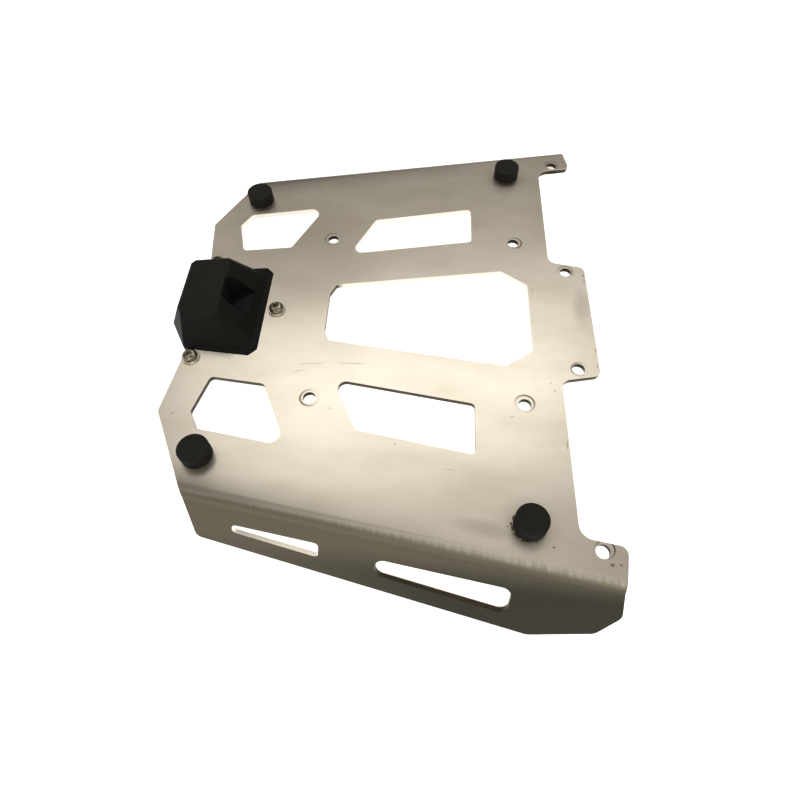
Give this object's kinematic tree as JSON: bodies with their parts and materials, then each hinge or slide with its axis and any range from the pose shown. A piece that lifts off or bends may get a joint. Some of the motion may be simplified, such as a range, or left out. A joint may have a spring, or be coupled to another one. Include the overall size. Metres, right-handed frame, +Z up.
{
  "type": "motorcycle top box rack plate",
  "caption": "Folded aluminium carrier plate with strap slots in its sloping flanges, rubber rests and a moulded lock block, bolted to a motorcycle's rack to take a top box.",
  "frame": {"origin": "middle of the four carrier holes, on the underside of the flat sheet", "axes": "+X from the lock block to the tongue, +Y towards the far flange, +Z up, out of the top of the sheet"},
  "size_m": [0.3045, 0.4208, 0.0752],
  "materials": {
    "brushed_aluminium": "brushed, worn",
    "moulded_plastic": "moulded, matt",
    "rubber": "matt",
    "dark_steel": "blackened, worn",
    "zinc_steel": "zinc plated, dull"
  },
  "bodies": {
    "root": {"rack_plate": "brushed_aluminium", "lock_housing": "moulded_plastic", "bumper_far_front": "rubber", "bumper_stud_far_front": "zinc_steel", "bumper_washer_far_front": "zinc_steel", "bumper_nut_far_front": "zinc_steel", "bumper_far_rear": "rubber", "bumper_stud_far_rear": "zinc_steel", "bumper_washer_far_rear": "zinc_steel", "bumper_nut_far_rear": "zinc_steel", "bumper_near_front": "rubber", "bumper_stud_near_front": "zinc_steel", "bumper_washer_near_front": "zinc_steel", "bumper_nut_near_front": "zinc_steel", "bumper_near_rear": "rubber", "bumper_stud_near_rear": "zinc_steel", "bumper_washer_near_rear": "zinc_steel", "bumper_nut_near_rear": "zinc_steel", "lock_washer_rear": "zinc_steel", "lock_screw_rear": "dark_steel", "lock_foot_washer_rear": "zinc_steel", "lock_nut_rear": "zinc_steel", "lock_washer_far": "zinc_steel", "lock_screw_far": "dark_steel", "lock_foot_washer_far": "zinc_steel", "lock_nut_far": "zinc_steel", "lock_washer_near": "zinc_steel", "lock_screw_near": "dark_steel", "lock_foot_washer_near": "zinc_steel", "lock_nut_near": "zinc_steel"}
  },
  "joints": []
}
